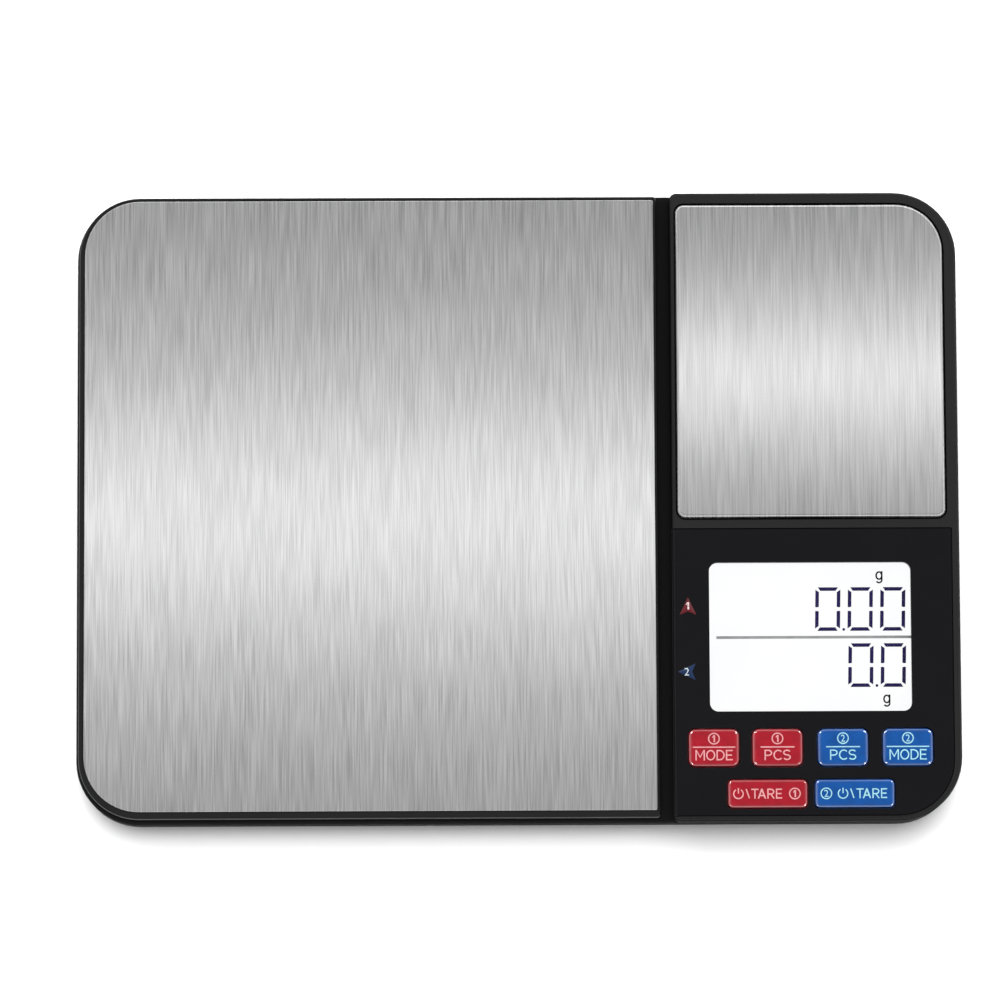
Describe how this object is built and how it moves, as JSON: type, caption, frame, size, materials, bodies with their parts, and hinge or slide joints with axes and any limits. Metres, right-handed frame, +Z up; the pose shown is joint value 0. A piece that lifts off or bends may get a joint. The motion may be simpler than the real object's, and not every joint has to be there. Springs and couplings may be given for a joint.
{
  "type": "counting scale",
  "caption": "Slim battery-powered counting scale with a large and a small steel weighing platform, a lit two-line display and colour-coded keys on one black case.",
  "frame": {"origin": "under the middle of the case, on the surface that the feet stand on", "axes": "+X to the user's right along the case's width, +Y to the rear, +Z up"},
  "size_m": [0.25, 0.179, 0.0212],
  "materials": {
    "case_plastic": "black ABS with a fine grain",
    "tray_plastic": "black ABS, satin",
    "panel_plastic": "black, satin gloss",
    "plate_steel": "brushed front to rear",
    "window_clear": "clear, polished",
    "display_glass": "lit display",
    "white_plastic": "white light guide",
    "red_key": "gloss red",
    "blue_key": "gloss blue",
    "foot_rubber": "matt black rubber",
    "cell_aluminium": "machined",
    "sealant": "white silicone",
    "screw_steel": "zinc plated",
    "screw_black": "black zinc",
    "board": "green solder mask",
    "chip": "black resin",
    "component": "ceramic",
    "crystal_can": "metal can",
    "switch_body": "black",
    "contact_metal": "nickel plated spring steel",
    "battery_wrap": "plain printed wrap",
    "wire_red": "PVC insulation",
    "wire_black": "PVC insulation",
    "wire_grey": "PVC insulation",
    "label_foil": "blank silver label"
  },
  "bodies": {
    "case": {"base_shell": "case_plastic", "top_cover": "case_plastic", "foot_front_left": "foot_rubber", "foot_rear_left": "foot_rubber", "foot_front_right": "foot_rubber", "foot_rear_right": "foot_rubber", "rating_label": "label_foil", "case_screws": "screw_black", "main_load_cell": "cell_aluminium", "main_cell_sealant": "sealant", "main_cell_base_screws": "screw_steel", "main_cell_wires": "wire_grey", "small_load_cell": "cell_aluminium", "small_cell_sealant": "sealant", "small_cell_base_screws": "screw_steel", "small_cell_wires": "wire_grey", "control_panel": "panel_plastic", "display_window": "window_clear", "display_glass": "display_glass", "display_light_guide": "white_plastic", "display_frame": "switch_body", "display_contact_strips": "sealant", "circuit_board": "board", "board_screws": "screw_steel", "controller_chip": "chip", "converter_chip": "chip", "board_crystal": "crystal_can", "board_capacitors": "component", "key_switches": "switch_body", "battery_cells": "battery_wrap", "battery_button_contact": "contact_metal", "battery_spring_contact": "contact_metal", "battery_bridge_contact": "contact_metal", "battery_positive_wire": "wire_red", "battery_negative_wire": "wire_black"},
    "large_platform": {"large_tray": "tray_plastic", "large_plate": "plate_steel", "main_cell_tray_screws": "screw_steel"},
    "small_platform": {"small_tray": "tray_plastic", "small_plate": "plate_steel", "small_cell_tray_screws": "screw_steel"},
    "door": {"battery_door": "case_plastic"},
    "red_mode_button": {"red_mode_key": "red_key", "red_mode_plunger": "switch_body"},
    "red_pieces_button": {"red_pieces_key": "red_key", "red_pieces_plunger": "switch_body"},
    "blue_pieces_button": {"blue_pieces_key": "blue_key", "blue_pieces_plunger": "switch_body"},
    "blue_mode_button": {"blue_mode_key": "blue_key", "blue_mode_plunger": "switch_body"},
    "red_tare_button": {"red_tare_key": "red_key", "red_tare_plunger": "switch_body"},
    "blue_tare_button": {"blue_tare_key": "blue_key", "blue_tare_plunger": "switch_body"}
  },
  "joints": [
    {"name": "large_platform_load", "type": "slide", "parent": "case", "child": "large_platform", "axis": [0, 0, -1], "range_m": [0, 0.0005], "stiffness_N_per_m": 40000, "springref_m": -0.0002, "deforming": ["main_load_cell", "main_cell_sealant"]},
    {"name": "small_platform_load", "type": "slide", "parent": "case", "child": "small_platform", "axis": [0, 0, -1], "range_m": [0, 0.0003], "stiffness_N_per_m": 15000, "springref_m": -0.0002, "deforming": ["small_load_cell", "small_cell_sealant"]},
    {"name": "battery_door_hinge", "type": "hinge", "parent": "case", "child": "door", "pos_m": [0.0805, 0.0553, 0.002], "axis": [-1, 0, 0], "range_deg": [0, 80]},
    {"name": "red_mode_press", "type": "slide", "parent": "case", "child": "red_mode_button", "axis": [0, 0, -1], "range_m": [0, 0.0003], "stiffness_N_per_m": 1500, "springref_m": -0.0007},
    {"name": "red_pieces_press", "type": "slide", "parent": "case", "child": "red_pieces_button", "axis": [0, 0, -1], "range_m": [0, 0.0003], "stiffness_N_per_m": 1500, "springref_m": -0.0007},
    {"name": "blue_pieces_press", "type": "slide", "parent": "case", "child": "blue_pieces_button", "axis": [0, 0, -1], "range_m": [0, 0.0003], "stiffness_N_per_m": 1500, "springref_m": -0.0007},
    {"name": "blue_mode_press", "type": "slide", "parent": "case", "child": "blue_mode_button", "axis": [0, 0, -1], "range_m": [0, 0.0003], "stiffness_N_per_m": 1500, "springref_m": -0.0007},
    {"name": "red_tare_press", "type": "slide", "parent": "case", "child": "red_tare_button", "axis": [0, 0, -1], "range_m": [0, 0.0003], "stiffness_N_per_m": 1500, "springref_m": -0.0007},
    {"name": "blue_tare_press", "type": "slide", "parent": "case", "child": "blue_tare_button", "axis": [0, 0, -1], "range_m": [0, 0.0003], "stiffness_N_per_m": 1500, "springref_m": -0.0007}
  ]
}
